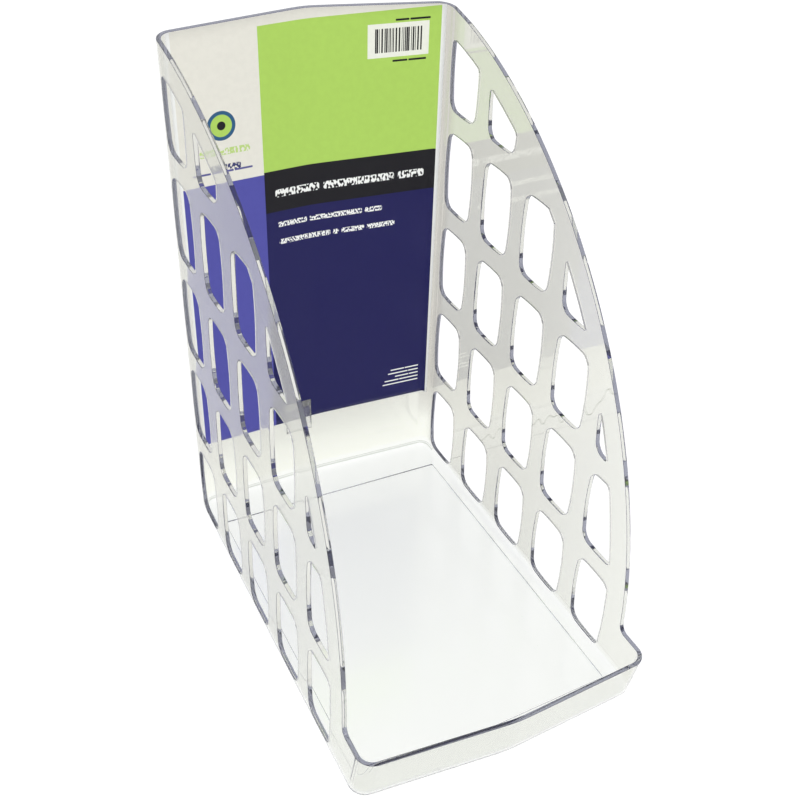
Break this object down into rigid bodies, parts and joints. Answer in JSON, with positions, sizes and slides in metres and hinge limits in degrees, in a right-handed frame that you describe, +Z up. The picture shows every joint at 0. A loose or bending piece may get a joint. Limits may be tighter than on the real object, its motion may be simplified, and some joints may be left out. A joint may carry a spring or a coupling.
{
  "type": "magazine rack",
  "caption": "Clear upright magazine rack: tall bowed back, curved side walls pierced with barrel-shaped windows, low front lip, and a printed card on the back wall.",
  "frame": {"origin": "bottom centre of the bounding box, in the plane that the rack stands on", "axes": "+Z up, +X across the width to the right as seen from the open front, +Y towards the tall back wall; the rack opens towards -Y"},
  "size_m": [0.1812, 0.29, 0.3316],
  "materials": {
    "clear_moulding": "clear glossy polystyrene, colourless with a faint warm grey cast",
    "printed_card": "printed semi-gloss card in lime green, black, navy, violet and off-white",
    "clear_tape": "clear glossy tape"
  },
  "bodies": {
    "root": {"floor_tray": "clear_moulding", "back_wall": "clear_moulding", "left_side_wall": "clear_moulding", "right_side_wall": "clear_moulding", "front_lip": "clear_moulding", "insert_card": "printed_card", "card_tape": "clear_tape"}
  },
  "joints": []
}
